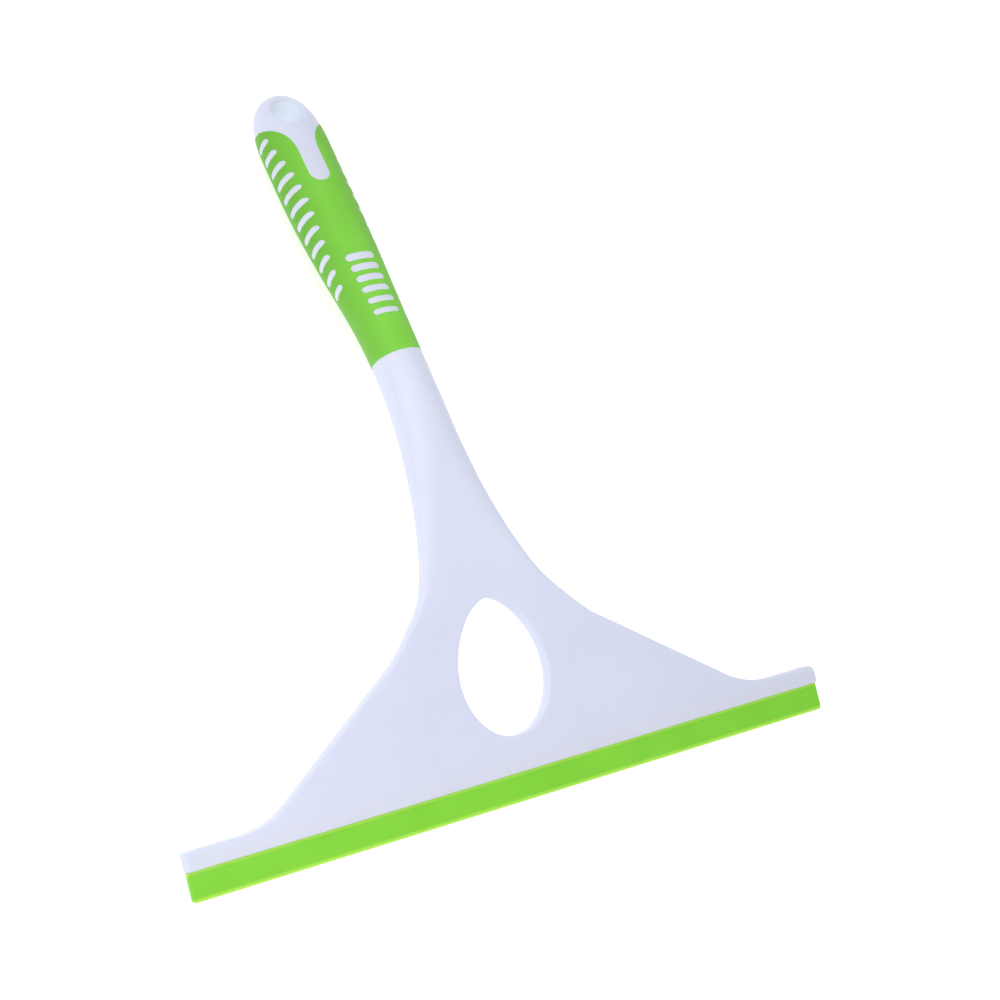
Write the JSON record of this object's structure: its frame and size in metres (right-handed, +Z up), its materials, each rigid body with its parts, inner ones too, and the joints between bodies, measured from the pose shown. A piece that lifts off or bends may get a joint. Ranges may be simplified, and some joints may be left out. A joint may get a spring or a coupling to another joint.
{
  "type": "window squeegee",
  "caption": "One-piece moulded window squeegee: flared head with an egg-shaped hole, slide-in rubber blade, and a curved handle with a soft slotted grip and a hanging hole.",
  "frame": {"origin": "centre of the footprint, on the ground plane the squeegee lies on with its front face up", "axes": "+X along the blade, to the right when seen from above with the handle pointing away; +Y from the wiping edge to the hanging end; +Z up, out of the front face"},
  "size_m": [0.279, 0.2976, 0.0354],
  "materials": {
    "white_plastic": "satin moulded polypropylene, cool white",
    "green_grip": "matt soft-touch overmoulding, apple green",
    "green_rubber": "smooth satin rubber, bright green"
  },
  "bodies": {
    "handle": {"handle_body": "white_plastic", "grip_sleeve": "green_grip"},
    "blade_strip": {"blade": "green_rubber"}
  },
  "joints": [
    {"name": "blade_slide", "type": "slide", "parent": "handle", "child": "blade_strip", "axis": [1, 0, 0], "range_m": [0, 0.2757]}
  ]
}
